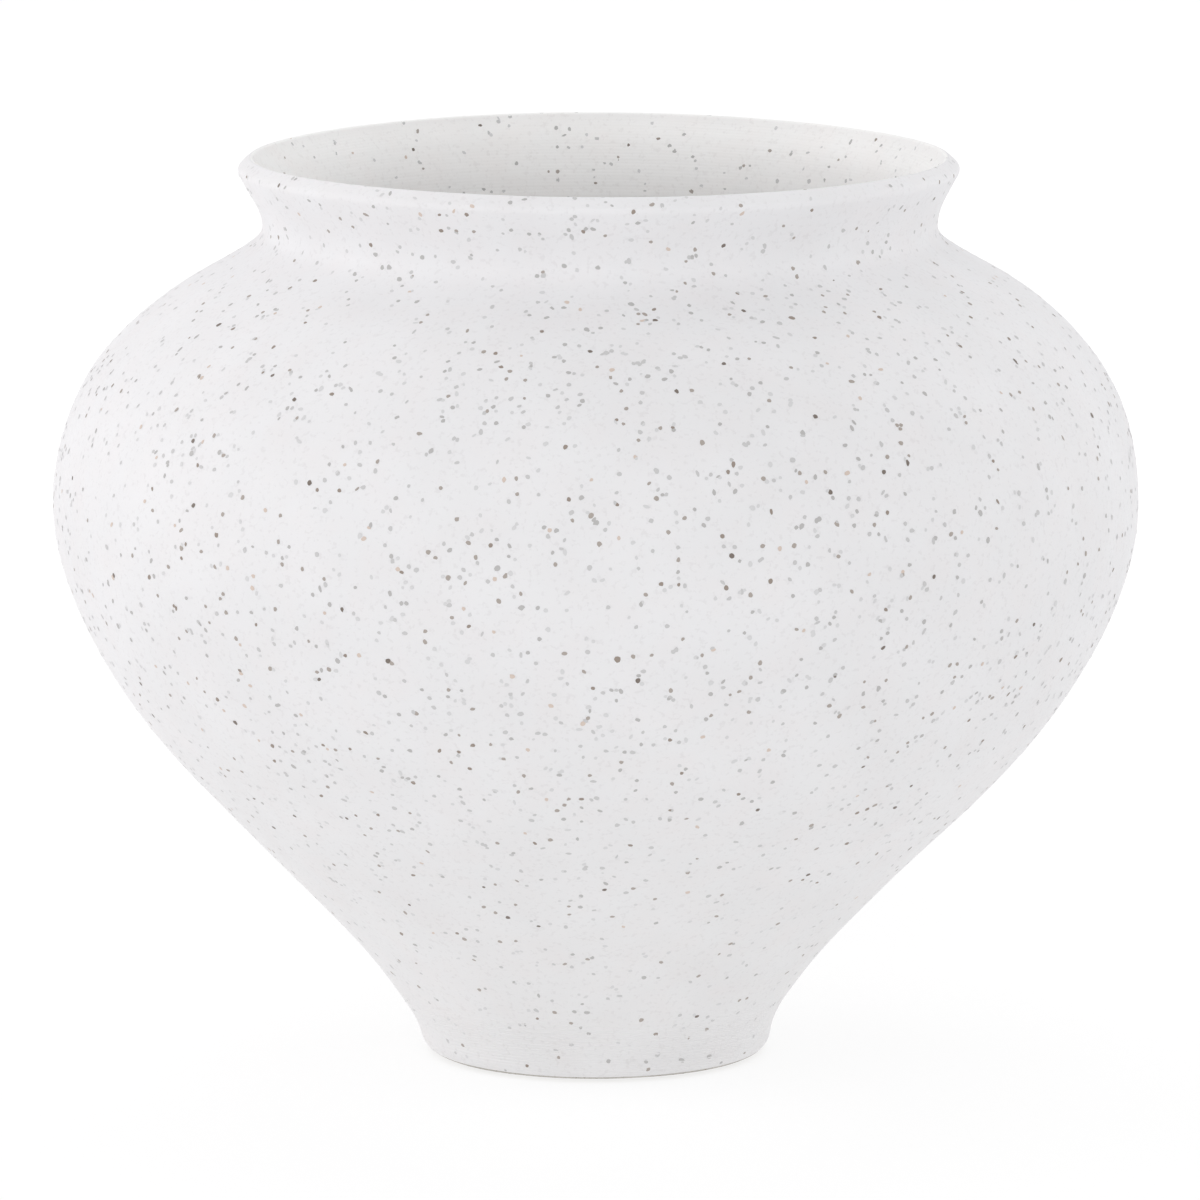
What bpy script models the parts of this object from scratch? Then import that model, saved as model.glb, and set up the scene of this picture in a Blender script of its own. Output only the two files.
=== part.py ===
"""Wide-mouthed, broad-shouldered stoneware vase that stands on four felt pads.

Metres, +Z up. The origin is on the vase's axis, in the plane that the pads stand on.
The vase body is one thrown and fired piece, so its foot, bowl, belly, shoulder, neck and lip
are one closed wall, turned about the axis. The pads sit in the recess under the foot.
"""

import math
from typing import NamedTuple

import bmesh
import bpy
from mathutils import Vector
from mathutils.geometry import interpolate_bezier


class Knot(NamedTuple):
    """One place on the outside of the wall."""

    radius: float
    height: float
    lean: float
    wall: float


# The outside of the wall, from the foot up. Heights are above the foot ring's face, the lean
# is in degrees outwards from upright, and the wall is its thickness there. The neck is
# narrowest a little lower on its inside than on its outside.
FOOT_EDGE = Knot(0.0389, 0.0036, 10.0, 0.0075)
FOOT_BEND = Knot(0.0462, 0.0169, 35.5, 0.0070)
LOWER_BOWL = Knot(0.0641, 0.0372, 44.0, 0.0060)
UPPER_BOWL = Knot(0.0905, 0.0640, 43.0, 0.0055)
UNDER_BELLY = Knot(0.1121, 0.0946, 26.5, 0.0054)
BELLY = Knot(0.1200, 0.1235, 0.0, 0.0054)
SHOULDER = Knot(0.1100, 0.1554, -38.0, 0.0054)
UPPER_SHOULDER = Knot(0.0906, 0.1723, -59.0, 0.0053)
NECK_BEND = Knot(0.0793, 0.1789, -56.0, 0.0051)
NECK = Knot(0.0746, 0.1846, 0.0, 0.0048)
INNER_NECK = Knot(0.0745, 0.1825, 0.0, 0.0048)
FLARE = Knot(0.0772, 0.1926, 29.0, 0.0050)
BODY_KNOTS = (
    FOOT_BEND,
    LOWER_BOWL,
    UPPER_BOWL,
    UNDER_BELLY,
    BELLY,
    SHOULDER,
    UPPER_SHOULDER,
    NECK_BEND,
)
OUTER_KNOTS = (*BODY_KNOTS, NECK, FLARE)
INNER_KNOTS = (*BODY_KNOTS, INNER_NECK, FLARE)

# The lip, from its underside round its outer corner, then up a bevel to its ridge and over to
# its inner edge: each place is a radius, a height and the lean there.
LIP_TURNS = (
    (0.0792, 0.1965, 30.0),
    (0.0796, 0.1977, 0.0),
    (0.0793, 0.1987, -40.0),
    (0.0776, 0.2003, -50.0),
    (0.0770, 0.2006, -90.0),
    (0.0762, 0.2002, -150.0),
)

# The foot: a flat ring that was trimmed on the wheel, round a shallow recess.
FOOT_RING_OUTER_RADIUS = 0.0354
FOOT_RING_INNER_RADIUS = 0.0308
RECESS_EDGE_RADIUS = 0.0276
RECESS_DEPTH = 0.0027
BASE_THICKNESS = 0.0065
FLOOR_RADIUS = 0.0240

# The pads are stuck in the recess and hold the foot ring just off the surface below.
PAD_NAMES = ("felt_pad_right", "felt_pad_back", "felt_pad_left", "felt_pad_front")
PAD_RADIUS = 0.006
PAD_THICKNESS = 0.003
PAD_CIRCLE_RADIUS = 0.0195
PAD_ROUNDING = 0.0003
CONTACT_GAP = 0.0003
FOOT_HEIGHT = PAD_THICKNESS + CONTACT_GAP - RECESS_DEPTH

# How finely the curves are cut: a step is at most this long and turns at most this far.
SEGMENTS_AROUND = 60
PAD_SEGMENTS = 24
LONGEST_STEP = 0.012
WIDEST_TURN = 16.0
SHARP_ANGLE = math.radians(40.0)

OUTWARD = 90.0
DOWNWARD = 180.0


def heading(lean):
    """The direction in the radius and height plane that leans outwards by so many degrees."""
    angle = math.radians(lean)
    return Vector((math.sin(angle), math.cos(angle)))


def curve(start, start_lean, end, end_lean):
    """A smooth curve between two points of the section, without its first point."""
    reach = (end - start).length / 3
    turn = abs(end_lean - start_lean)
    steps = math.ceil(max(3 * reach / LONGEST_STEP, turn / WIDEST_TURN))
    start_handle = start + reach * heading(start_lean)
    end_handle = end - reach * heading(end_lean)
    return interpolate_bezier(start, start_handle, end_handle, end, steps + 1)[1:]


def outside(knot):
    """The knot's point on the outside of the wall."""
    return Vector((knot.radius, knot.height))


def inside(knot):
    """The point straight through the wall from the knot."""
    return outside(knot) + knot.wall * heading(knot.lean - OUTWARD)


def foot_section():
    """From the recess's flat ceiling, round the foot ring and up to its outer edge."""
    ceiling_edge = Vector((RECESS_EDGE_RADIUS, RECESS_DEPTH))
    ring_inner = Vector((FOOT_RING_INNER_RADIUS, 0.0))
    ring_outer = Vector((FOOT_RING_OUTER_RADIUS, 0.0))
    recess_side = (ceiling_edge + ring_inner) / 2
    points = [ceiling_edge]
    points += curve(ceiling_edge, OUTWARD, recess_side, DOWNWARD)
    points += curve(recess_side, DOWNWARD, ring_inner, OUTWARD)
    points.append(ring_outer)
    points += curve(ring_outer, OUTWARD, outside(FOOT_EDGE), FOOT_EDGE.lean)
    points += curve(outside(FOOT_EDGE), FOOT_EDGE.lean, outside(FOOT_BEND), FOOT_BEND.lean)
    return points


def lip_section():
    """From the outside of the flare, over the lip's ridge, to the inside of the flare."""
    points = []
    start = outside(FLARE)
    start_lean = FLARE.lean
    for radius, height, lean in LIP_TURNS:
        end = Vector((radius, height))
        points += curve(start, start_lean, end, lean)
        start = end
        start_lean = lean
    points += curve(start, start_lean, inside(FLARE), FLARE.lean - DOWNWARD)
    return points


def wall_section():
    """Up the outside of the wall, over the lip and down the inside to the flat floor."""
    points = []
    for lower, upper in zip(OUTER_KNOTS, OUTER_KNOTS[1:]):
        points += curve(outside(lower), lower.lean, outside(upper), upper.lean)
    points += lip_section()
    downwards = INNER_KNOTS[::-1]
    for upper, lower in zip(downwards, downwards[1:]):
        upper_lean = upper.lean + DOWNWARD
        lower_lean = lower.lean + DOWNWARD
        points += curve(inside(upper), upper_lean, inside(lower), lower_lean)
    floor_edge = Vector((FLOOR_RADIUS, RECESS_DEPTH + BASE_THICKNESS))
    bend_lean = FOOT_BEND.lean + DOWNWARD
    points += curve(inside(FOOT_BEND), bend_lean, floor_edge, DOWNWARD + OUTWARD)
    return points


def turned(section):
    """A closed body: the section turned about the axis, with its two open ends filled flat."""
    body = bmesh.new()
    verts = [body.verts.new((point.x, 0.0, point.y)) for point in section]
    edges = [body.edges.new(pair) for pair in zip(verts, verts[1:])]
    bmesh.ops.spin(
        body,
        geom=verts + edges,
        axis=(0.0, 0.0, 1.0),
        cent=(0.0, 0.0, 0.0),
        angle=2 * math.pi,
        steps=SEGMENTS_AROUND,
        use_merge=True,
    )
    bmesh.ops.holes_fill(body, edges=body.edges)
    bmesh.ops.recalc_face_normals(body, faces=body.faces)
    return body


def disc():
    """A round pad, centred on its own origin, with its rims just broken."""
    pad = bmesh.new()
    bmesh.ops.create_cone(
        pad,
        cap_ends=True,
        segments=PAD_SEGMENTS,
        radius1=PAD_RADIUS,
        radius2=PAD_RADIUS,
        depth=PAD_THICKNESS,
    )
    rims = [edge for edge in pad.edges if edge.verts[0].co.z == edge.verts[1].co.z]
    bmesh.ops.bevel(pad, geom=rims, offset=PAD_ROUNDING, segments=1, affect="EDGES")
    return pad


def node(name, shape, material, location):
    """A named object from a bmesh, shaded smooth between its sharp edges."""
    mesh = bpy.data.meshes.new(name)
    shape.to_mesh(mesh)
    shape.free()
    mesh.shade_smooth()
    mesh.set_sharp_from_angle(angle=SHARP_ANGLE)
    mesh.materials.append(material)
    obj = bpy.data.objects.new(name, mesh)
    obj.location = location
    bpy.context.scene.collection.objects.link(obj)
    return obj


def finish(name, colour, roughness):
    """A plain dielectric material."""
    material = bpy.data.materials.new(name)
    material.use_nodes = True
    shader = material.node_tree.nodes["Principled BSDF"]
    shader.inputs["Base Color"].default_value = (*colour, 1.0)
    shader.inputs["Roughness"].default_value = roughness
    shader.inputs["Metallic"].default_value = 0.0
    return material


def make_body():
    """The thrown vase, with its foot ring's face at its own origin's height."""
    stoneware = finish("speckled_stoneware", (0.80, 0.80, 0.79), 0.55)
    shape = turned(foot_section() + wall_section())
    return node("vase_body", shape, stoneware, (0.0, 0.0, FOOT_HEIGHT))


def make_pads():
    """Four pads, evenly spaced in the recess."""
    felt = finish("felt", (0.62, 0.59, 0.53), 0.95)
    for index, name in enumerate(PAD_NAMES):
        angle = 2 * math.pi * index / len(PAD_NAMES)
        x = PAD_CIRCLE_RADIUS * math.cos(angle)
        y = PAD_CIRCLE_RADIUS * math.sin(angle)
        node(name, disc(), felt, (x, y, PAD_THICKNESS / 2))


def main():
    for obj in list(bpy.data.objects):
        bpy.data.objects.remove(obj, do_unlink=True)
    make_body()
    make_pads()


main()
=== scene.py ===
"""The looks of a wide-mouthed, speckled stoneware vase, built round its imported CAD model.

Metres, +Z up, in the CAD model's own frame. The vase's wall is turned again as a fine mesh with
the marks of the wheel in it, thousands of iron flecks are set into its glaze, and the felt pads
get their pile. The floor, the lights and the camera come last.
"""

import math
from typing import NamedTuple

import bmesh
import bpy
import numpy as np
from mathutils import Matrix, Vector
from mathutils.geometry import interpolate_bezier


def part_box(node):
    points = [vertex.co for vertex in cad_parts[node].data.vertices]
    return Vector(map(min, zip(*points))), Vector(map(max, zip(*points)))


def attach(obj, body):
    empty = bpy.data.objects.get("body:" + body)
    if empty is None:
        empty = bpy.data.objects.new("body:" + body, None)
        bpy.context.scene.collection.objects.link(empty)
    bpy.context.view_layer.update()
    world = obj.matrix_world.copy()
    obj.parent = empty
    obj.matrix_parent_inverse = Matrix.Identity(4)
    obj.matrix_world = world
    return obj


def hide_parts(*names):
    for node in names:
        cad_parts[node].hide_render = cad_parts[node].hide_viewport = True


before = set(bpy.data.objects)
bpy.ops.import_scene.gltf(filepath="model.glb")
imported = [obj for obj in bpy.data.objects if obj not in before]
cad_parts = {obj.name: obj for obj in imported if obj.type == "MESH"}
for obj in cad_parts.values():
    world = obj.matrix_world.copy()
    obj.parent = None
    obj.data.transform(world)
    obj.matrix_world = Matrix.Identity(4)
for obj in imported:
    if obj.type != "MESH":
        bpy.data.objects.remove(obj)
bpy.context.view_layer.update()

TURN = 2 * math.pi


# ---------------------------------------------------------------- the wall's section

class Knot(NamedTuple):
    """One place on the outside of the wall."""

    radius: float
    height: float
    lean: float
    wall: float


# The outline of the CAD model. Heights are above the foot ring's face, the lean is in degrees
# outwards from upright, and the wall is its thickness there.
FOOT_EDGE = Knot(0.0389, 0.0036, 10.0, 0.0075)
FOOT_BEND = Knot(0.0462, 0.0169, 35.5, 0.0070)
LOWER_BOWL = Knot(0.0641, 0.0372, 44.0, 0.0060)
UPPER_BOWL = Knot(0.0905, 0.0640, 43.0, 0.0055)
UNDER_BELLY = Knot(0.1121, 0.0946, 26.5, 0.0054)
BELLY = Knot(0.1200, 0.1235, 0.0, 0.0054)
SHOULDER = Knot(0.1100, 0.1554, -38.0, 0.0054)
UPPER_SHOULDER = Knot(0.0906, 0.1723, -59.0, 0.0053)
NECK_BEND = Knot(0.0793, 0.1789, -56.0, 0.0051)
NECK = Knot(0.0746, 0.1846, 0.0, 0.0048)
INNER_NECK = Knot(0.0745, 0.1825, 0.0, 0.0048)
FLARE = Knot(0.0772, 0.1926, 29.0, 0.0050)
BODY_KNOTS = (
    FOOT_BEND,
    LOWER_BOWL,
    UPPER_BOWL,
    UNDER_BELLY,
    BELLY,
    SHOULDER,
    UPPER_SHOULDER,
    NECK_BEND,
)
OUTER_KNOTS = (*BODY_KNOTS, NECK, FLARE)
INNER_KNOTS = (*BODY_KNOTS, INNER_NECK, FLARE)

# The lip's places up to its ridge and then down its inside: radius, height and lean.
LIP_OUTSIDE = (
    (0.0792, 0.1965, 30.0),
    (0.0796, 0.1977, 0.0),
    (0.0793, 0.1987, -40.0),
    (0.0776, 0.2003, -50.0),
    (0.0770, 0.2006, -90.0),
)
LIP_INSIDE = ((0.0762, 0.2002, -150.0),)
LIP_RIDGE = Vector(LIP_OUTSIDE[-1][:2])

# The foot: a flat ring round a shallow recess, under a flat floor.
FOOT_RING_OUTER_RADIUS = 0.0354
FOOT_RING_INNER_RADIUS = 0.0308
RECESS_EDGE_RADIUS = 0.0276
RECESS_DEPTH = 0.0027
BASE_THICKNESS = 0.0065
FLOOR_RADIUS = 0.0240
FOOT_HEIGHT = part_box("vase_body")[0].z

# Leans, in degrees, and the length of a step along the section's fine curves.
OUTWARD = 90.0
DOWNWARD = 180.0
FINE_STEP = 0.0001


def heading(lean):
    """The direction in the radius and height plane that leans outwards by so many degrees."""
    angle = math.radians(lean)
    return Vector((math.sin(angle), math.cos(angle)))


def curve(start, start_lean, end, end_lean):
    """A smooth curve between two points of the section, without its first point."""
    reach = (end - start).length / 3
    steps = math.ceil(3 * reach / FINE_STEP)
    start_handle = start + reach * heading(start_lean)
    end_handle = end - reach * heading(end_lean)
    return interpolate_bezier(start, start_handle, end_handle, end, steps + 1)[1:]


def straight(start, end):
    """Evenly spaced points between two points of the section, without the first one."""
    steps = math.ceil((end - start).length / FINE_STEP)
    return [start.lerp(end, step / steps) for step in range(1, steps + 1)]


def outside(knot):
    """The knot's point on the outside of the wall."""
    return Vector((knot.radius, knot.height))


def inside(knot):
    """The point straight through the wall from the knot."""
    return outside(knot) + knot.wall * heading(knot.lean - OUTWARD)


def through(start, start_lean, places):
    """Curves from a start through places, each a radius, a height and a lean."""
    points = []
    for radius, height, lean in places:
        end = Vector((radius, height))
        points += curve(start, start_lean, end, lean)
        start = end
        start_lean = lean
    return points


def foot_section():
    """From the middle of the recess, round the foot ring and up to the foot's bend."""
    ceiling_middle = Vector((0.0, RECESS_DEPTH))
    ceiling_edge = Vector((RECESS_EDGE_RADIUS, RECESS_DEPTH))
    ring_inner = Vector((FOOT_RING_INNER_RADIUS, 0.0))
    ring_outer = Vector((FOOT_RING_OUTER_RADIUS, 0.0))
    recess_side = (ceiling_edge + ring_inner) / 2
    points = [ceiling_middle]
    points += straight(ceiling_middle, ceiling_edge)
    points += curve(ceiling_edge, OUTWARD, recess_side, DOWNWARD)
    points += curve(recess_side, DOWNWARD, ring_inner, OUTWARD)
    points += straight(ring_inner, ring_outer)
    points += curve(ring_outer, OUTWARD, outside(FOOT_EDGE), FOOT_EDGE.lean)
    points += curve(outside(FOOT_EDGE), FOOT_EDGE.lean, outside(FOOT_BEND), FOOT_BEND.lean)
    return points


def outer_section():
    """Up the outside of the wall, from the foot's bend to the lip's ridge."""
    points = []
    for lower, upper in zip(OUTER_KNOTS, OUTER_KNOTS[1:]):
        points += curve(outside(lower), lower.lean, outside(upper), upper.lean)
    points += through(outside(FLARE), FLARE.lean, LIP_OUTSIDE)
    return points


def inner_section():
    """Down the inside of the wall, from the lip's ridge to the middle of the flat floor."""
    flare_place = (*inside(FLARE), FLARE.lean - DOWNWARD)
    points = through(LIP_RIDGE, -OUTWARD, (*LIP_INSIDE, flare_place))
    downwards = INNER_KNOTS[::-1]
    for upper, lower in zip(downwards, downwards[1:]):
        upper_lean = upper.lean + DOWNWARD
        lower_lean = lower.lean + DOWNWARD
        points += curve(inside(upper), upper_lean, inside(lower), lower_lean)
    floor_edge = Vector((FLOOR_RADIUS, RECESS_DEPTH + BASE_THICKNESS))
    floor_middle = Vector((0.0, floor_edge.y))
    bend_lean = FOOT_BEND.lean + DOWNWARD
    points += curve(inside(FOOT_BEND), bend_lean, floor_edge, DOWNWARD + OUTWARD)
    points += straight(floor_edge, floor_middle)
    return points


class Section:
    """The whole section by the way along it, from the recess's middle to the floor's middle."""

    def __init__(self):
        foot = foot_section()
        outer = outer_section()
        points = np.array([tuple(point) for point in foot + outer + inner_section()])
        steps = np.linalg.norm(np.diff(points, axis=0), axis=1)
        self.travel = np.concatenate([[0.0], np.cumsum(steps)])
        self.radius, self.height = points.T
        along = np.gradient(points, self.travel, axis=0)
        along /= np.linalg.norm(along, axis=1)[:, None]
        self.out_radius = along[:, 1]
        self.out_height = -along[:, 0]
        lean = np.unwrap(np.arctan2(along[:, 0], along[:, 1]))
        self.bend = np.abs(np.gradient(lean, self.travel))
        self.outer_start = self.travel[len(foot) - 1]
        self.ridge = self.travel[len(foot) + len(outer) - 1]
        self.length = self.travel[-1]

    def at(self, values, travel):
        """One of the section's own arrays, read at some way along it."""
        return np.interp(travel, self.travel, values)

    def outside_at(self, height):
        """The way along the section to a height on the outside of the wall."""
        part = (self.travel >= self.outer_start) & (self.travel <= self.ridge)
        return float(np.interp(height, self.height[part], self.travel[part]))

    def inside_at(self, height):
        """The way along the section to a height on the inside of the wall."""
        part = self.travel >= self.ridge
        return float(np.interp(-height, -self.height[part], self.travel[part]))


section = Section()


# ---------------------------------------------------------------- the hand-made surface

# The wheel's fine turning lines show where the foot was trimmed, up to TRIMMED_TOP, and inside
# the neck. Round the foot ring they are DEEP_LINES times as deep as elsewhere.
LINE_PITCH = 0.00075
LINE_DEPTH = 0.000015
TRIMMED_TOP = 0.034
DEEP_LINES = 4.6
NECK_LINES_BOTTOM = 0.176
LINES_FADE = 0.004

# Broad finger rings, much deeper inside than outside, where a rib smoothed them.
RING_PITCH = 0.0092
OUTER_RING_DEPTH = 0.000012
INNER_RING_DEPTH = 0.00016

# How far the wall wanders sideways from the axis, by height above the foot ring's face, and how
# far its upper half is pressed in, at most, on the two sides where it isn't round.
SWAY = (
    (0.000, -0.0001),
    (0.013, -0.0007),
    (0.040, -0.0006),
    (0.062, 0.0001),
    (0.090, 0.0000),
    (0.125, -0.0002),
    (0.150, 0.0003),
    (0.174, 0.0011),
    (0.186, 0.0007),
    (0.193, 0.0004),
    (0.200, 0.0005),
)
OUT_OF_ROUND = 0.0003

# The rim dips at its two sides and, less, at the front, and a slight warp makes its two sides
# unlike. The back is its highest place.
RIM_TILT = 0.00030
RIM_WAVE = 0.00025
RIM_WARP = 0.00020
RIM_WARP_TURN = 0.4


def eased(x, low, high):
    """0 below low, 1 above high, and a smooth rise between them."""
    share = np.clip((x - low) / (high - low), 0.0, 1.0)
    return share * share * (3 - 2 * share)


def sway(height):
    """How far sideways the wall is at some heights."""
    heights, offsets = np.array(SWAY).T
    index = np.clip(np.searchsorted(heights, height) - 1, 0, len(heights) - 2)
    share = eased(height, heights[index], heights[index + 1])
    return offsets[index] + share * (offsets[index + 1] - offsets[index])


def line_strength(travel):
    """How deep the turning lines are, as a share, along the section."""
    trimmed_end = section.outside_at(TRIMMED_TOP)
    trimmed = 1 - eased(travel, trimmed_end, trimmed_end + LINES_FADE)
    above_foot = eased(travel, section.outer_start - 2 * LINES_FADE, section.outer_start)
    trimmed *= DEEP_LINES - (DEEP_LINES - 1) * above_foot
    neck_end = section.inside_at(NECK_LINES_BOTTOM)
    in_neck = eased(travel, section.ridge, section.ridge + LINES_FADE)
    in_neck *= 1 - eased(travel, neck_end, neck_end + LINES_FADE)
    return np.maximum(trimmed, in_neck)


def relief(travel, angle):
    """How far the glazed surface stands out from the section, by the way along and round it."""
    patch = 0.7 + 0.3 * np.sin(3 * angle + 90 * travel) * np.sin(2 * angle - 210 * travel)
    drift = 0.9 * np.sin(angle + 40 * travel) + 0.6 * np.sin(2 * angle - 75 * travel)
    lines = np.sin(TURN * travel / LINE_PITCH + angle + drift)
    lines += 0.5 * np.sin(TURN * travel / (2.7 * LINE_PITCH) - angle + 2 * drift)
    rings = np.sin(TURN * travel / RING_PITCH + angle + 0.5 * drift)
    within = eased(travel, section.ridge + RING_PITCH, section.ridge + 4 * RING_PITCH)
    ring_depth = OUTER_RING_DEPTH + within * (INNER_RING_DEPTH - OUTER_RING_DEPTH)
    ring_depth = ring_depth * (1 - eased(travel, section.length - RING_PITCH, section.length))
    return LINE_DEPTH * line_strength(travel) * patch * lines + ring_depth * patch * rings


def place(travel, angle, lift=0.0):
    """Points on the vase's surface, standing out from it by lift."""
    radius = section.at(section.radius, travel)
    height = section.at(section.height, travel)
    rise = relief(travel, angle) + lift
    oval = OUT_OF_ROUND * eased(height, UPPER_BOWL.height, FLARE.height)
    radius = radius + rise * section.at(section.out_radius, travel)
    radius = radius - oval * (1 + np.sin(2 * angle + 0.7)) / 2
    dip = RIM_TILT * (1 - np.sin(angle)) + RIM_WAVE * (1 + np.cos(2 * angle))
    dip = dip + RIM_WARP * (np.sin(3 * angle - RIM_WARP_TURN) + np.sin(angle))
    dip = dip * eased(height, NECK.height, LIP_RIDGE.y)
    height = height + rise * section.at(section.out_height, travel) - dip
    x = radius * np.cos(angle) + sway(height)
    y = radius * np.sin(angle)
    return np.stack([x, y, height + FOOT_HEIGHT], axis=-1)


# ---------------------------------------------------------------- materials

WHITE = (1.0, 1.0, 1.0)

# Each glaze's colours in its darker and its lighter clouds.
OUTER_GLAZE = ((0.790, 0.787, 0.800), (0.811, 0.808, 0.822))
# The liner is made lighter than the outer glaze: painted light inside the vase, where less light
# reaches.
LINER_GLAZE_PAINTED_LIGHT = ((0.902, 0.898, 0.894), (0.919, 0.915, 0.911))

# Painted shade by height: the glaze is made a little darker lower on the wall, towards the
# foot, and a touch lighter high up. Heights in metres, and tints.
PAINTED_SHADE_BY_HEIGHT = (
    (0.015, (0.973, 0.971, 0.962)),
    (0.11, WHITE),
    (0.14, (1.015, 1.015, 1.015)),
)

# Which of the Mix node's sockets are the ones for colours.
MIX_FACTOR = 0
MIX_FIRST_COLOUR = 6
MIX_SECOND_COLOUR = 7
MIX_RESULT_COLOUR = 2

# Most of a noise's values lie in this range.
NOISE_LOW = 0.3
NOISE_HIGH = 0.7


def new_material(name):
    """A new material, its node tree and the Principled shader in it."""
    material = bpy.data.materials.new(name)
    material.use_nodes = True
    tree = material.node_tree
    return material, tree, tree.nodes["Principled BSDF"]


def set_shader(shader, roughness, specular, colour=None):
    """The values that are the same all over a surface."""
    shader.inputs["Metallic"].default_value = 0.0
    shader.inputs["Roughness"].default_value = roughness
    shader.inputs["Specular IOR Level"].default_value = specular
    if colour is not None:
        shader.inputs["Base Color"].default_value = (*colour, 1.0)


def add_node(tree, kind, **settings):
    """A shader node with its settings. Keys that name an input set that input's value."""
    new = tree.nodes.new(kind)
    for key, value in settings.items():
        if key in new.inputs:
            new.inputs[key].default_value = value
        else:
            setattr(new, key, value)
    return new


def object_noise(tree, scale, detail, stretch=(1.0, 1.0, 1.0), roughness=0.5):
    """A noise in the object's own coordinates: scale is in cells per metre."""
    place_node = add_node(tree, "ShaderNodeTexCoord")
    mapping = add_node(tree, "ShaderNodeMapping", Scale=stretch)
    noise = add_node(tree, "ShaderNodeTexNoise", Scale=scale, Detail=detail, Roughness=roughness)
    tree.links.new(place_node.outputs["Object"], mapping.inputs["Vector"])
    tree.links.new(mapping.outputs["Vector"], noise.inputs["Vector"])
    return noise.outputs["Fac"]


def ramp(tree, factor, stops):
    """A colour ramp over a factor. Each stop is a position and a colour."""
    node = add_node(tree, "ShaderNodeValToRGB")
    elements = node.color_ramp.elements
    while len(elements) < len(stops):
        elements.new(1.0)
    for element, (position, colour) in zip(elements, stops):
        element.position = position
        element.color = (*colour, 1.0)
    tree.links.new(factor, node.inputs["Fac"])
    return node.outputs["Color"]


def multiplied(tree, first, *others):
    """Colours multiplied together."""
    result = first
    for other in others:
        node = add_node(tree, "ShaderNodeMix", data_type="RGBA", blend_type="MULTIPLY")
        node.inputs[MIX_FACTOR].default_value = 1.0
        tree.links.new(result, node.inputs[MIX_FIRST_COLOUR])
        tree.links.new(other, node.inputs[MIX_SECOND_COLOUR])
        result = node.outputs[MIX_RESULT_COLOUR]
    return result


def spread_to(tree, factor, low, high):
    """A noise spread over low to high, for a roughness."""
    node = add_node(tree, "ShaderNodeMapRange")
    node.inputs["From Min"].default_value = NOISE_LOW
    node.inputs["From Max"].default_value = NOISE_HIGH
    node.inputs["To Min"].default_value = low
    node.inputs["To Max"].default_value = high
    tree.links.new(factor, node.inputs["Value"])
    return node.outputs["Result"]


def bumped(tree, shader, heights):
    """Bumps in a row, each (height socket, distance in metres), into the shader's normal."""
    normal = None
    for height, distance in heights:
        bump = add_node(tree, "ShaderNodeBump", Strength=1.0, Distance=distance)
        tree.links.new(height, bump.inputs["Height"])
        if normal is not None:
            tree.links.new(normal, bump.inputs["Normal"])
        normal = bump.outputs["Normal"]
    tree.links.new(normal, shader.inputs["Normal"])


def glaze(name, darker, lighter):
    """Matt white glaze: cloudy, faintly pink in patches, peppered, with painted shade low down."""
    material, tree, shader = new_material(name)
    set_shader(shader, roughness=0.62, specular=0.18)
    cloud_noise = object_noise(tree, 45.0, 3.0)
    clouds = ramp(tree, cloud_noise, ((0.35, darker), (0.65, lighter)))
    tint_noise = object_noise(tree, 110.0, 2.0)
    tint = ramp(tree, tint_noise, ((0.40, WHITE), (0.72, (1.0, 0.988, 0.985))))
    pepper_noise = object_noise(tree, 900.0, 2.0, roughness=0.6)
    pepper = ramp(tree, pepper_noise, ((0.32, (0.945, 0.94, 0.94)), (0.44, WHITE)))
    place_node = add_node(tree, "ShaderNodeTexCoord")
    split = add_node(tree, "ShaderNodeSeparateXYZ")
    tree.links.new(place_node.outputs["Object"], split.inputs["Vector"])
    # Painted shade by the object's height: darker low on the wall, a touch lighter high up.
    painted_shade_tint = ramp(tree, split.outputs["Z"], PAINTED_SHADE_BY_HEIGHT)
    colour = multiplied(tree, clouds, tint, pepper, painted_shade_tint)
    tree.links.new(colour, shader.inputs["Base Color"])
    sheen_noise = object_noise(tree, 160.0, 4.0)
    tree.links.new(spread_to(tree, sheen_noise, 0.56, 0.70), shader.inputs["Roughness"])
    level_lines = object_noise(tree, 1500.0, 3.0, stretch=(0.02, 0.02, 1.0))
    grain = object_noise(tree, 2600.0, 4.0)
    orange_peel = object_noise(tree, 420.0, 2.0)
    bumped(tree, shader, ((level_lines, 0.00002), (orange_peel, 0.00003), (grain, 0.000015)))
    return material


def bare_clay():
    """The wiped, unglazed foot ring: pale grey stoneware, sandy to the touch."""
    material, tree, shader = new_material("bare_stoneware_clay")
    set_shader(shader, roughness=0.85, specular=0.25)
    body_noise = object_noise(tree, 140.0, 5.0)
    body = ramp(tree, body_noise, ((0.30, (0.47, 0.450, 0.42)), (0.70, (0.57, 0.550, 0.52))))
    grog_noise = object_noise(tree, 1700.0, 3.0, roughness=0.7)
    grog = ramp(tree, grog_noise, ((0.36, (0.55, 0.50, 0.45)), (0.47, WHITE)))
    tree.links.new(multiplied(tree, body, grog), shader.inputs["Base Color"])
    sheen_noise = object_noise(tree, 300.0, 3.0)
    tree.links.new(spread_to(tree, sheen_noise, 0.78, 0.92), shader.inputs["Roughness"])
    sand = object_noise(tree, 1100.0, 5.0)
    bumped(tree, shader, ((sand, 0.00006),))
    return material


def fleck_material(name, colour):
    """One shade of iron fleck, as smooth as the glaze that it melted into."""
    material, _, shader = new_material(name)
    set_shader(shader, roughness=0.5, specular=0.35, colour=colour)
    return material


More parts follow.
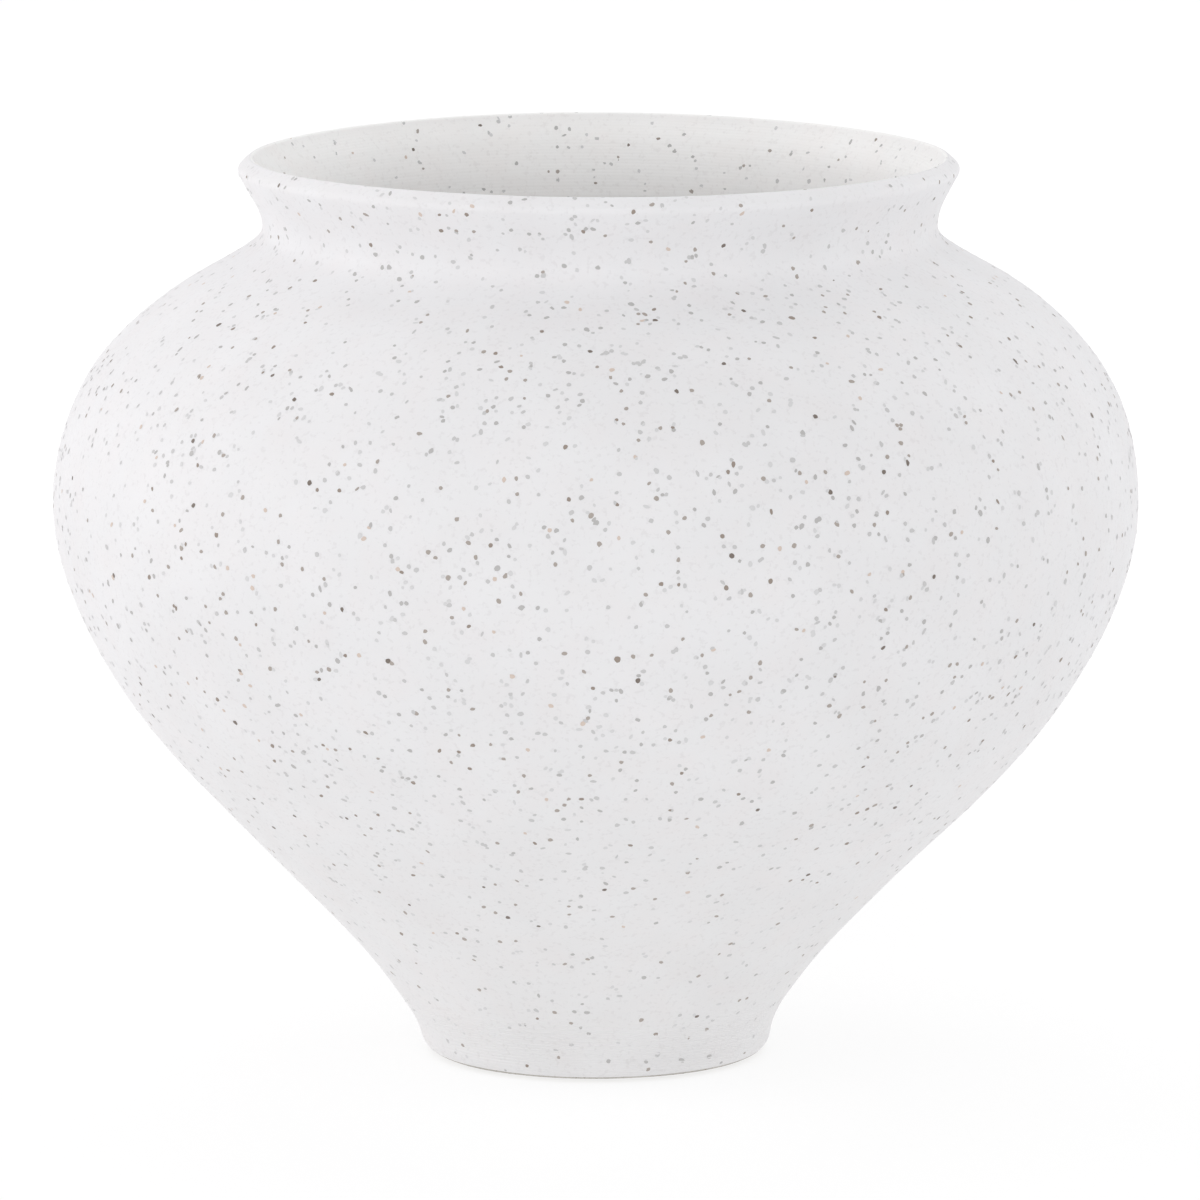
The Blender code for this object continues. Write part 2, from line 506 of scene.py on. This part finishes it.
def felt():
    """Pressed wool felt: matted, mottled fibres with a soft edge of light."""
    material, tree, shader = new_material("pressed_felt")
    set_shader(shader, roughness=0.95, specular=0.1)
    shader.inputs["Sheen Weight"].default_value = 0.35
    shader.inputs["Sheen Roughness"].default_value = 0.6
    mottle_noise = object_noise(tree, 900.0, 5.0)
    mottle = ramp(tree, mottle_noise, ((0.30, (0.50, 0.47, 0.42)), (0.70, (0.70, 0.67, 0.62))))
    strand_noise = object_noise(tree, 3000.0, 4.0, stretch=(1.0, 0.25, 1.0), roughness=0.7)
    strands = ramp(tree, strand_noise, ((0.35, (0.80, 0.79, 0.77)), (0.65, WHITE)))
    tree.links.new(multiplied(tree, mottle, strands), shader.inputs["Base Color"])
    long_fibres = object_noise(tree, 2400.0, 5.0, stretch=(1.0, 0.3, 1.0))
    cross_fibres = object_noise(tree, 1800.0, 4.0, stretch=(0.3, 1.0, 1.0))
    bumped(tree, shader, ((long_fibres, 0.00020), (cross_fibres, 0.00016)))
    return material


# ---------------------------------------------------------------- the vase

# The mesh's rings lie at most COARSE_STEP apart, and closer in two places: where the section
# bends, so that it turns at most WIDEST_TURN radians from one to the next, down to LIP_STEP, and
# where the turning lines are stronger than FAINT_LINES.
SEGMENTS_AROUND = 144
COARSE_STEP = 0.0030
LIP_STEP = 0.00015
WIDEST_TURN = 0.10
LINE_STEP = LINE_PITCH / 3.6
FAINT_LINES = 0.15

# The glaze was wiped off the foot ring up to this height, set high enough that a band of the
# darker bare clay shows along the foot's bottom edge: partly real bare clay, partly painted
# shade there. The three zones of the wall are the outer glaze, the bare clay and the liner
# glaze, which starts at the lip's ridge.
BARE_HEIGHT = 0.0006
OUTER_ZONE = 0
BARE_ZONE = 1
LINER_ZONE = 2


def mesh_object(name, points, faces, materials, face_materials=None):
    """A smooth-shaded object from points and faces."""
    mesh = bpy.data.meshes.new(name)
    mesh.from_pydata(points.tolist(), [], faces)
    for material in materials:
        mesh.materials.append(material)
    if face_materials is not None:
        mesh.polygons.foreach_set("material_index", face_materials)
    mesh.shade_smooth()
    mesh.update()
    obj = bpy.data.objects.new(name, mesh)
    bpy.context.scene.collection.objects.link(obj)
    return obj


def ring_places():
    """Where along the section the vase's mesh has its rings."""
    rings_per_metre = np.clip(section.bend / WIDEST_TURN, 1 / COARSE_STEP, 1 / LIP_STEP)
    lined = line_strength(section.travel) > FAINT_LINES
    lined &= section.travel > section.outer_start / 2
    rings_per_metre[lined] = np.maximum(rings_per_metre[lined], 1 / LINE_STEP)
    rings_so_far = np.cumsum(rings_per_metre[:-1] * np.diff(section.travel))
    wanted = np.arange(1, int(rings_so_far[-1]))
    return np.interp(wanted, rings_so_far, section.travel[1:])


def glaze_line():
    """The way along the section to where the glaze was wiped off the foot ring."""
    on_ring = section.travel < section.outer_start
    on_ring &= section.height < BARE_HEIGHT
    return float(section.travel[on_ring].max())


def wall_faces(ring_count):
    """Squares between the rings, then fans to the two middle points that come after them."""
    top = (ring_count - 1) * SEGMENTS_AROUND
    recess_middle = ring_count * SEGMENTS_AROUND
    floor_middle = recess_middle + 1
    turn_to_next = [(i, (i + 1) % SEGMENTS_AROUND) for i in range(SEGMENTS_AROUND)]
    faces = []
    for low in range(0, top, SEGMENTS_AROUND):
        high = low + SEGMENTS_AROUND
        faces += [(low + i, low + j, high + j, high + i) for i, j in turn_to_next]
    for i, j in turn_to_next:
        faces.append((recess_middle, j, i))
        faces.append((floor_middle, top + i, top + j))
    return faces


def wall_zones(rings):
    """Which zone each of the wall's faces is in."""
    starts = rings[:-1]
    glazed = np.where(starts > section.ridge, LINER_ZONE, OUTER_ZONE)
    zones = np.where(starts < glaze_line(), BARE_ZONE, glazed)
    fans = np.tile([BARE_ZONE, LINER_ZONE], SEGMENTS_AROUND)
    return np.concatenate([np.repeat(zones, SEGMENTS_AROUND), fans])


def make_vase():
    """The glazed wall and the bare foot ring, one closed mesh."""
    rings = ring_places()
    angles = np.arange(SEGMENTS_AROUND) * TURN / SEGMENTS_AROUND
    grid = place(rings[:, None], angles[None, :])
    middles = place(np.array([0.0, section.length]), np.zeros(2))
    points = np.vstack([grid.reshape(-1, 3), middles])
    outer_glaze = glaze("matt_white_glaze", *OUTER_GLAZE)
    # The liner glaze's lighter colours are painted light for the vase's shaded inside.
    liner_glaze_painted_light = glaze("liner_glaze_painted_light", *LINER_GLAZE_PAINTED_LIGHT)
    materials = [outer_glaze, bare_clay(), liner_glaze_painted_light]
    return mesh_object("glazed_vase", points, wall_faces(len(rings)), materials, wall_zones(rings))


# ---------------------------------------------------------------- the iron flecks

# Flecks are scattered evenly over the wall, and each place then keeps a share of its own.
FLECK_SEED = 11
SCATTERED_PER_SQUARE_METRE = 92800

# Loose clumps: the share that the barest places keep, and how many waves gather the clumps. The
# last two are how widely the waves vary, in radians per metre up the wall and in crests round it.
BAREST_SHARE = 0.50
CLUMP_WAVES = 24
CLUMP_WAVES_UP = 450
CLUMP_WAVES_ROUND = 42

# The inside keeps fewer. So does the outside towards the foot, on the upper shoulder and at its
# two sides. Bands are heights above the foot ring's face.
INSIDE_SHARE = 0.44
FOOT_SHARE = 0.50
FOOT_BAND = (0.035, 0.11)
SHOULDER_LOSS = 0.20
SHOULDER_BAND = (0.150, 0.175)
SIDE_SHARE = 0.55
FRONT_AND_BACK_GAIN = 0.49

# A fleck is a low drop with its middle FLECK_HEIGHT and its edge FLECK_SKIRT above the glaze.
# How much flecks differ in size, length and outline is given as shares.
FLECK_CORNERS = 8
FLECK_HEIGHT = 0.00003
FLECK_SKIRT = 0.00001
SIZE_SPREAD = 0.13
STRETCH_SPREAD = 0.28
EDGE_SPREAD = 0.11

# No fleck's middle is closer than this to the bare clay, or inside this share of the floor's
# radius.
FLECK_MARGIN = 0.0008
FLOOR_BARE_SHARE = 0.9

# Each shade: its weight among the flecks, its typical half-width, and its colour.
FLECK_SHADES = (
    ("fleck_veiled", 0.34, 0.00046, (0.670, 0.667, 0.675)),
    ("fleck_rust", 0.03, 0.00046, (0.660, 0.555, 0.490)),
    ("fleck_faint", 0.28, 0.00048, (0.582, 0.577, 0.580)),
    ("fleck_grey", 0.18, 0.00048, (0.489, 0.480, 0.476)),
    ("fleck_brown", 0.11, 0.00047, (0.412, 0.368, 0.336)),
    ("fleck_dark", 0.05, 0.00047, (0.318, 0.267, 0.230)),
    ("fleck_black", 0.02, 0.00049, (0.203, 0.170, 0.148)),
)


def clumping(travel, angle, waves):
    """A slowly changing share, from 0 to 1, that gathers the flecks in loose clumps."""
    total = np.zeros_like(travel)
    for up, around, phase in waves:
        total += np.sin(up * travel + around * angle + phase)
    return 0.5 + 0.5 * np.tanh(total / math.sqrt(len(waves)))


def scatter(rng, start, end, outside_wall):
    """Places on a stretch of the wall, evenly by area and then thinned into loose clumps."""
    fine = np.linspace(start, end, 4000)
    area = np.cumsum(section.at(section.radius, fine))
    whole = TURN * area[-1] * (end - start) / len(fine)
    count = int(SCATTERED_PER_SQUARE_METRE * whole)
    travel = np.interp(rng.random(count) * area[-1], area, fine)
    angle = rng.random(count) * TURN
    waves = []
    for _ in range(CLUMP_WAVES):
        up = rng.normal(0, CLUMP_WAVES_UP)
        around = round(rng.normal(0, CLUMP_WAVES_ROUND))
        waves.append((up, around, rng.random() * TURN))
    keep = BAREST_SHARE + (1 - BAREST_SHARE) * clumping(travel, angle, waves)
    if outside_wall:
        height = section.at(section.height, travel)
        keep *= FOOT_SHARE + (1 - FOOT_SHARE) * eased(height, *FOOT_BAND)
        keep *= 1 - SHOULDER_LOSS * eased(height, *SHOULDER_BAND)
        keep *= SIDE_SHARE + FRONT_AND_BACK_GAIN * np.sin(angle) ** 2
    else:
        keep *= INSIDE_SHARE
    kept = rng.random(count) < keep
    return travel[kept], angle[kept]


def fleck_outlines(rng, size):
    """Each fleck's middle and then its ragged edge, as distances along and round the wall."""
    count = len(size)
    stretch = 1 + rng.exponential(STRETCH_SPREAD, count)
    turn = rng.random(count) * TURN
    corner = np.arange(FLECK_CORNERS) * TURN / FLECK_CORNERS
    ragged = 1 + rng.normal(0, EDGE_SPREAD, (count, FLECK_CORNERS))
    long_way = size[:, None] * np.sqrt(stretch)[:, None] * ragged * np.cos(corner)
    short_way = size[:, None] / np.sqrt(stretch)[:, None] * ragged * np.sin(corner)
    turn_cos = np.cos(turn)[:, None]
    turn_sin = np.sin(turn)[:, None]
    middle = np.zeros((count, 1))
    along = np.concatenate([middle, long_way * turn_cos - short_way * turn_sin], 1)
    around = np.concatenate([middle, long_way * turn_sin + short_way * turn_cos], 1)
    return along, around


def fleck_faces(count):
    """A fan of triangles from each fleck's middle to its edge."""
    middle = np.arange(count)[:, None] * (FLECK_CORNERS + 1)
    edge = middle + 1 + np.arange(FLECK_CORNERS)
    fans = np.stack([np.broadcast_to(middle, edge.shape), np.roll(edge, -1, axis=1), edge], 2)
    return fans.reshape(-1, 3).tolist()


def fleck_mesh(name, rng, start, end, materials, outside_wall):
    """Flecks as thin, irregular drops on the wall's own surface, all in one object."""
    travel, angle = scatter(rng, start, end, outside_wall)
    count = len(travel)
    weights = np.array([weight for _, weight, _, _ in FLECK_SHADES])
    half_widths = np.array([half_width for _, _, half_width, _ in FLECK_SHADES])
    shade = rng.choice(len(FLECK_SHADES), count, p=weights / weights.sum())
    size = half_widths[shade] * np.exp(rng.normal(0, SIZE_SPREAD, count))
    along, around = fleck_outlines(rng, size)
    lift = np.full((count, FLECK_CORNERS + 1), FLECK_SKIRT)
    lift[:, 0] = FLECK_HEIGHT
    radius = section.at(section.radius, travel)[:, None]
    points = place(travel[:, None] + along, angle[:, None] + around / radius, lift)
    face_materials = np.repeat(shade, FLECK_CORNERS)
    return mesh_object(name, points.reshape(-1, 3), fleck_faces(count), materials, face_materials)


def make_flecks():
    """The flecks of the outside and of the inside, each one piece."""
    rng = np.random.default_rng(FLECK_SEED)
    materials = [fleck_material(name, colour) for name, _, _, colour in FLECK_SHADES]
    outer_start = glaze_line() + FLECK_MARGIN
    inner_end = section.length - FLOOR_RADIUS * FLOOR_BARE_SHARE
    outer = fleck_mesh("outer_flecks", rng, outer_start, section.ridge, materials, True)
    inner = fleck_mesh("inner_flecks", rng, section.ridge, inner_end, materials, False)
    return outer, inner


# ---------------------------------------------------------------- the felt pads

PAD_NODES = ("felt_pad_right", "felt_pad_back", "felt_pad_left", "felt_pad_front")
PAD_SEED = 5

# A pad's mesh is fine enough for its pile, which presses each point in by about PILE_DEPTH.
PAD_SEGMENTS = 64
PAD_FLAT_RINGS = 9
PAD_FLAT_SHARE = 0.92
PAD_EDGE_STEPS = 6
PAD_SIDE_STEPS = 6
PAD_ROUNDING = 0.0005
PILE_DEPTH = 0.00004
WELD_DISTANCE = 1e-6


def pad_profile(radius, thickness):
    """The pad's outline from the middle of its underside, round its side, to its top's middle."""
    under = [
        (radius * step / PAD_FLAT_RINGS * PAD_FLAT_SHARE, 0.0) for step in range(PAD_FLAT_RINGS)
    ]
    for step in range(PAD_EDGE_STEPS + 1):
        turn = math.pi / 2 * step / PAD_EDGE_STEPS
        across = radius - PAD_ROUNDING + PAD_ROUNDING * math.sin(turn)
        under.append((across, PAD_ROUNDING * (1 - math.cos(turn))))
    upright = thickness - 2 * PAD_ROUNDING
    side = [
        (radius, PAD_ROUNDING + upright * step / PAD_SIDE_STEPS) for step in range(1, PAD_SIDE_STEPS)
    ]
    over = [(across, thickness - up) for across, up in reversed(under)]
    return under + side + over


def make_pad(node, rng, material):
    """A pressed felt disc with a soft, uneven pile, where the CAD node is."""
    low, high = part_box(node)
    centre = (low + high) / 2
    shape = bmesh.new()
    profile = pad_profile((high.x - low.x) / 2, high.z - low.z)
    verts = [shape.verts.new((across, 0.0, up)) for across, up in profile]
    edges = [shape.edges.new(pair) for pair in zip(verts, verts[1:])]
    bmesh.ops.spin(
        shape,
        geom=verts + edges,
        axis=(0.0, 0.0, 1.0),
        cent=(0.0, 0.0, 0.0),
        angle=TURN,
        steps=PAD_SEGMENTS,
        use_merge=True,
    )
    bmesh.ops.remove_doubles(shape, verts=shape.verts, dist=WELD_DISTANCE)
    bmesh.ops.recalc_face_normals(shape, faces=shape.faces)
    shape.normal_update()
    for vert in shape.verts:
        vert.co -= abs(rng.normal(0, PILE_DEPTH)) * vert.normal
    mesh = bpy.data.meshes.new(node + "_felt")
    shape.to_mesh(mesh)
    shape.free()
    mesh.materials.append(material)
    mesh.shade_smooth()
    pad = bpy.data.objects.new(node + "_felt", mesh)
    pad.location = (centre.x, centre.y, low.z)
    bpy.context.scene.collection.objects.link(pad)
    return pad


# ---------------------------------------------------------------- floor, light and camera

# The table glows a little less near the vase than far from it.
FLOOR_SIZE = 16.0
FLOOR_GREY = 0.30
NEAR_GLOW = 0.72
FAR_GLOW = 0.79
GLOW_NEAR_RADIUS = 0.25
GLOW_FAR_RADIUS = 1.20

# The studio is a tent of thin cloth. It glows full white up to its hem, and falls to an even
# TENT_WHITE above that. The two heights are sines of the angle above level.
TENT_WHITE = 0.62
TENT_HEM = 0.01
TENT_EVEN = 0.09

# Each soft box: degrees round from the front, degrees up, how much of full white it throws,
# and its colour.
BOX_DISTANCE = 1.9
BOX_SIZE = 1.6
PINKISH_WHITE = (1.0, 0.970, 0.975)
SOFT_BOXES = (
    ("left_box", -108.0, 12.0, 0.31, PINKISH_WHITE),
    ("left_front_box", -60.0, 20.0, 0.075, PINKISH_WHITE),
    ("right_box", 118.0, 12.0, 0.255, WHITE),
    ("front_box", 0.0, 40.0, 0.225, WHITE),
    ("back_box", 180.0, 60.0, 0.185, WHITE),
)
VASE_MIDDLE = Vector((0.0, 0.0, 0.1))

CAMERA_DISTANCE = 2.228
CAMERA_ELEVATION = 9.32
CAMERA_AIM = Vector((0.00075, 0.0, 0.10133))
CAMERA_LENS = 301.7


def towards(azimuth, elevation):
    """The direction at so many degrees round from the front, to the right, and so many up."""
    turn = math.radians(azimuth)
    rise = math.radians(elevation)
    across = math.cos(rise)
    return Vector((across * math.sin(turn), -across * math.cos(turn), math.sin(rise)))


def facing(direction):
    """The rotation of a light or camera that looks along a direction."""
    return direction.to_track_quat("-Z", "Y").to_euler()


def make_floor():
    """A plain white table, lit from below, a little dimmer round the vase."""
    corners = np.array([(-1.0, -1.0, 0.0), (1.0, -1.0, 0.0), (1.0, 1.0, 0.0), (-1.0, 1.0, 0.0)])
    material, tree, shader = new_material("white_floor")
    set_shader(shader, roughness=0.9, specular=0.0, colour=(FLOOR_GREY, FLOOR_GREY, FLOOR_GREY))
    shader.inputs["Emission Color"].default_value = (*WHITE, 1.0)
    place_node = add_node(tree, "ShaderNodeTexCoord")
    distance = add_node(tree, "ShaderNodeVectorMath", operation="LENGTH")
    glow = add_node(tree, "ShaderNodeMapRange", interpolation_type="SMOOTHSTEP")
    glow.inputs["From Min"].default_value = GLOW_NEAR_RADIUS
    glow.inputs["From Max"].default_value = GLOW_FAR_RADIUS
    glow.inputs["To Min"].default_value = NEAR_GLOW
    glow.inputs["To Max"].default_value = FAR_GLOW
    tree.links.new(place_node.outputs["Object"], distance.inputs[0])
    tree.links.new(distance.outputs["Value"], glow.inputs["Value"])
    tree.links.new(glow.outputs["Result"], shader.inputs["Emission Strength"])
    return mesh_object("floor", FLOOR_SIZE / 2 * corners, [(0, 1, 2, 3)], [material])


def make_soft_box(name, azimuth, elevation, white, colour):
    """A big square light that faces the vase. Its power gives the share of white asked for."""
    data = bpy.data.lights.new(name, "AREA")
    data.size = BOX_SIZE
    data.energy = white * (math.pi * BOX_DISTANCE) ** 2
    data.color = colour
    light = bpy.data.objects.new(name, data)
    out = towards(azimuth, elevation)
    light.location = VASE_MIDDLE + BOX_DISTANCE * out
    light.rotation_euler = facing(-out)
    light.visible_camera = False
    bpy.context.scene.collection.objects.link(light)


def make_world():
    """The tent: an even glow all round and overhead, brighter at its hem."""
    world = bpy.data.worlds.new("studio")
    world.use_nodes = True
    tree = world.node_tree
    place_node = add_node(tree, "ShaderNodeTexCoord")
    split = add_node(tree, "ShaderNodeSeparateXYZ")
    tree.links.new(place_node.outputs["Generated"], split.inputs["Vector"])
    cloth = (TENT_WHITE, TENT_WHITE, TENT_WHITE)
    colour = ramp(tree, split.outputs["Z"], ((TENT_HEM, WHITE), (TENT_EVEN, cloth)))
    tree.links.new(colour, tree.nodes["Background"].inputs["Color"])
    bpy.context.scene.world = world


def make_camera():
    """The camera, a long way off with a long lens, a little above the vase."""
    data = bpy.data.cameras.new("camera")
    data.lens = CAMERA_LENS
    data.clip_end = 50.0
    camera = bpy.data.objects.new("camera", data)
    out = towards(0.0, CAMERA_ELEVATION)
    camera.location = CAMERA_AIM + CAMERA_DISTANCE * out
    camera.rotation_euler = facing(-out)
    bpy.context.scene.collection.objects.link(camera)
    bpy.context.scene.camera = camera


# ---------------------------------------------------------------- putting it together

make_camera()

vase = make_vase()
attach(vase, "root")
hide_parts("vase_body")

for flecks in make_flecks():
    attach(flecks, "root")

felt_material = felt()
pad_rng = np.random.default_rng(PAD_SEED)
for pad_node in PAD_NODES:
    pad = make_pad(pad_node, pad_rng, felt_material)
    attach(pad, "root")
    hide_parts(pad_node)

make_floor()
make_world()
for soft_box in SOFT_BOXES:
    make_soft_box(*soft_box)
bpy.context.scene.view_settings.view_transform = "Standard"
